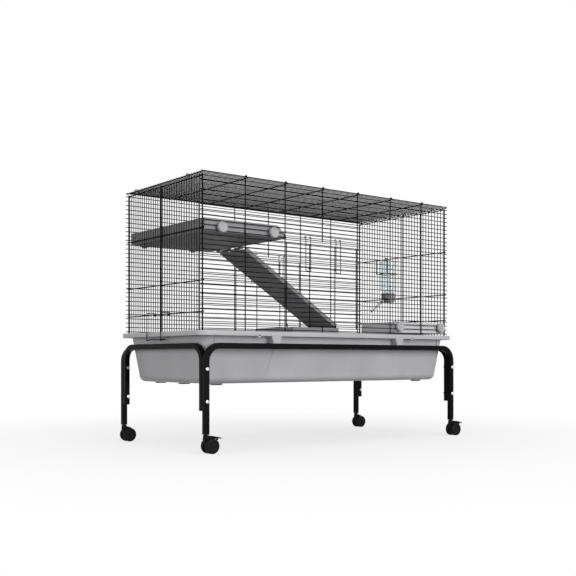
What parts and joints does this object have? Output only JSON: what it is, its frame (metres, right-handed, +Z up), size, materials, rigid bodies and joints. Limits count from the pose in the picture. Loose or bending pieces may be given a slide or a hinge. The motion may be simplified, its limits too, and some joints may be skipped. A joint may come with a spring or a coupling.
{
  "type": "wire small-animal cage",
  "caption": "Black wire cage on a grey plastic tray, held by a black tube stand on swivel casters, with doors that open down, a platform, a ramp and a water bottle",
  "frame": {"origin": "on the floor, under the middle of the whole object's bounding box", "axes": "+X along the cage's length, towards the water bottle; +Y from front to back; +Z up"},
  "size_m": [1.0027, 0.4808, 0.735],
  "materials": {
    "cage_wire": "black powder coat over steel wire, satin",
    "stand_tube": "black powder coat over square steel tube, semi-gloss",
    "zinc_hardware": "bright zinc plate",
    "caster_plastic": "moulded black nylon",
    "tray_plastic": "moulded light grey polypropylene, satin",
    "shelf_plastic": "moulded grey polypropylene",
    "knob_plastic": "moulded pale grey plastic",
    "clear_bottle": "clear moulded plastic",
    "spout_steel": "drawn stainless tube and ball"
  },
  "bodies": {
    "frame": {"front_arch": "stand_tube", "rear_arch": "stand_tube", "left_end_arch": "stand_tube", "right_end_arch": "stand_tube", "frame_screws": "zinc_hardware", "frame_nuts": "zinc_hardware", "leg_plugs": "caster_plastic", "tray": "tray_plastic", "front_panel_sill": "cage_wire", "front_panel_left": "cage_wire", "front_panel_right": "cage_wire", "front_panel_header": "cage_wire", "back_panel_sill": "cage_wire", "back_panel_left": "cage_wire", "back_panel_right": "cage_wire", "back_panel_header": "cage_wire", "left_end_panel": "cage_wire", "right_end_panel": "cage_wire", "roof_panel": "cage_wire", "platform": "shelf_plastic", "low_shelf": "shelf_plastic", "landing_shelf": "shelf_plastic", "bottle_holder": "cage_wire", "bottle": "clear_bottle", "bottle_cap": "shelf_plastic", "bottle_spout": "spout_steel"},
    "front_left_caster": {"front_left_fork": "caster_plastic", "front_left_axle": "zinc_hardware"},
    "front_left_wheel_pair": {"front_left_wheels": "caster_plastic"},
    "front_left_brake_lever": {"front_left_brake": "caster_plastic"},
    "front_right_caster": {"front_right_fork": "caster_plastic", "front_right_axle": "zinc_hardware"},
    "front_right_wheel_pair": {"front_right_wheels": "caster_plastic"},
    "front_right_brake_lever": {"front_right_brake": "caster_plastic"},
    "back_left_caster": {"back_left_fork": "caster_plastic", "back_left_axle": "zinc_hardware"},
    "back_left_wheel_pair": {"back_left_wheels": "caster_plastic"},
    "back_right_caster": {"back_right_fork": "caster_plastic", "back_right_axle": "zinc_hardware"},
    "back_right_wheel_pair": {"back_right_wheels": "caster_plastic"},
    "front_door_leaf": {"front_door": "cage_wire"},
    "front_latch_left_wire": {"front_latch_left": "cage_wire"},
    "front_latch_right_wire": {"front_latch_right": "cage_wire"},
    "back_door_leaf": {"back_door": "cage_wire"},
    "back_latch_left_wire": {"back_latch_left": "cage_wire"},
    "back_latch_right_wire": {"back_latch_right": "cage_wire"},
    "left_tray_latch_bail": {"left_tray_latch": "cage_wire"},
    "right_tray_latch_bail": {"right_tray_latch": "cage_wire"},
    "ramp_deck": {"ramp": "shelf_plastic"},
    "platform_knob_front_left_grip": {"platform_knob_front_left": "knob_plastic"},
    "platform_knob_front_right_grip": {"platform_knob_front_right": "knob_plastic"},
    "platform_knob_back_left_grip": {"platform_knob_back_left": "knob_plastic"},
    "platform_knob_back_right_grip": {"platform_knob_back_right": "knob_plastic"},
    "low_shelf_knob_left_grip": {"low_shelf_knob_left": "knob_plastic"},
    "low_shelf_knob_right_grip": {"low_shelf_knob_right": "knob_plastic"},
    "spout_bead": {"spout_ball": "spout_steel"}
  },
  "joints": [
    {"name": "front_left_swivel", "type": "hinge", "parent": "frame", "child": "front_left_caster", "pos_m": [-0.481, -0.224, 0.045], "axis": [0, 0, 1], "continuous": true},
    {"name": "front_left_roll", "type": "hinge", "parent": "front_left_caster", "child": "front_left_wheel_pair", "pos_m": [-0.468, -0.224, 0.02], "axis": [0, 1, 0], "continuous": true},
    {"name": "front_left_brake_press", "type": "hinge", "parent": "front_left_caster", "child": "front_left_brake_lever", "pos_m": [-0.45673, -0.224, 0.04119], "axis": [0, 1, 0], "range_deg": [0, 8]},
    {"name": "front_right_swivel", "type": "hinge", "parent": "frame", "child": "front_right_caster", "pos_m": [0.441, -0.224, 0.045], "axis": [0, 0, 1], "continuous": true},
    {"name": "front_right_roll", "type": "hinge", "parent": "front_right_caster", "child": "front_right_wheel_pair", "pos_m": [0.454, -0.224, 0.02], "axis": [0, 1, 0], "continuous": true},
    {"name": "front_right_brake_press", "type": "hinge", "parent": "front_right_caster", "child": "front_right_brake_lever", "pos_m": [0.46527, -0.224, 0.04119], "axis": [0, 1, 0], "range_deg": [0, 8]},
    {"name": "back_left_swivel", "type": "hinge", "parent": "frame", "child": "back_left_caster", "pos_m": [-0.481, 0.224, 0.045], "axis": [0, 0, 1], "continuous": true},
    {"name": "back_left_roll", "type": "hinge", "parent": "back_left_caster", "child": "back_left_wheel_pair", "pos_m": [-0.468, 0.224, 0.02], "axis": [0, 1, 0], "continuous": true},
    {"name": "back_right_swivel", "type": "hinge", "parent": "frame", "child": "back_right_caster", "pos_m": [0.441, 0.224, 0.045], "axis": [0, 0, 1], "continuous": true},
    {"name": "back_right_roll", "type": "hinge", "parent": "back_right_caster", "child": "back_right_wheel_pair", "pos_m": [0.454, 0.224, 0.02], "axis": [0, 1, 0], "continuous": true},
    {"name": "front_door_swing", "type": "hinge", "parent": "frame", "child": "front_door_leaf", "pos_m": [-0.0738, -0.2045, 0.3363], "axis": [1, 0, 0], "range_deg": [0, 125]},
    {"name": "front_latch_left_slide", "type": "slide", "parent": "front_door_leaf", "child": "front_latch_left_wire", "axis": [0, 0, 1], "range_m": [-0.006, 0]},
    {"name": "front_latch_right_slide", "type": "slide", "parent": "front_door_leaf", "child": "front_latch_right_wire", "axis": [0, 0, 1], "range_m": [-0.006, 0]},
    {"name": "back_door_swing", "type": "hinge", "parent": "frame", "child": "back_door_leaf", "pos_m": [0.0338, 0.2045, 0.3363], "axis": [-1, 0, 0], "range_deg": [0, 125]},
    {"name": "back_latch_left_slide", "type": "slide", "parent": "back_door_leaf", "child": "back_latch_left_wire", "axis": [0, 0, 1], "range_m": [-0.006, 0]},
    {"name": "back_latch_right_slide", "type": "slide", "parent": "back_door_leaf", "child": "back_latch_right_wire", "axis": [0, 0, 1], "range_m": [-0.006, 0]},
    {"name": "left_tray_latch_swing", "type": "hinge", "parent": "frame", "child": "left_tray_latch_bail", "pos_m": [-0.4736, 0, 0.36702], "axis": [0, 1, 0], "range_deg": [0, 90]},
    {"name": "right_tray_latch_swing", "type": "hinge", "parent": "frame", "child": "right_tray_latch_bail", "pos_m": [0.4336, 0, 0.36702], "axis": [0, -1, 0], "range_deg": [0, 90]},
    {"name": "ramp_lift", "type": "hinge", "parent": "frame", "child": "ramp_deck", "pos_m": [-0.1985, 0.08, 0.572], "axis": [0, -1, 0], "range_deg": [0, 45]},
    {"name": "platform_knob_front_left_turn", "type": "hinge", "parent": "frame", "child": "platform_knob_front_left_grip", "pos_m": [-0.4205, -0.2061, 0.588], "axis": [0, -1, 0], "continuous": true},
    {"name": "platform_knob_front_right_turn", "type": "hinge", "parent": "frame", "child": "platform_knob_front_right_grip", "pos_m": [-0.2525, -0.2061, 0.588], "axis": [0, -1, 0], "continuous": true},
    {"name": "platform_knob_back_left_turn", "type": "hinge", "parent": "frame", "child": "platform_knob_back_left_grip", "pos_m": [-0.4205, 0.2061, 0.588], "axis": [0, 1, 0], "continuous": true},
    {"name": "platform_knob_back_right_turn", "type": "hinge", "parent": "frame", "child": "platform_knob_back_right_grip", "pos_m": [-0.2525, 0.2061, 0.588], "axis": [0, 1, 0], "continuous": true},
    {"name": "low_shelf_knob_left_turn", "type": "hinge", "parent": "frame", "child": "low_shelf_knob_left_grip", "pos_m": [0.2295, -0.2061, 0.3421], "axis": [0, -1, 0], "continuous": true},
    {"name": "low_shelf_knob_right_turn", "type": "hinge", "parent": "frame", "child": "low_shelf_knob_right_grip", "pos_m": [0.4115, -0.2061, 0.3421], "axis": [0, -1, 0], "continuous": true},
    {"name": "spout_ball_push", "type": "slide", "parent": "frame", "child": "spout_bead", "axis": [-0.8192, 0, -0.5736], "range_m": [-0.002, 0]}
  ]
}
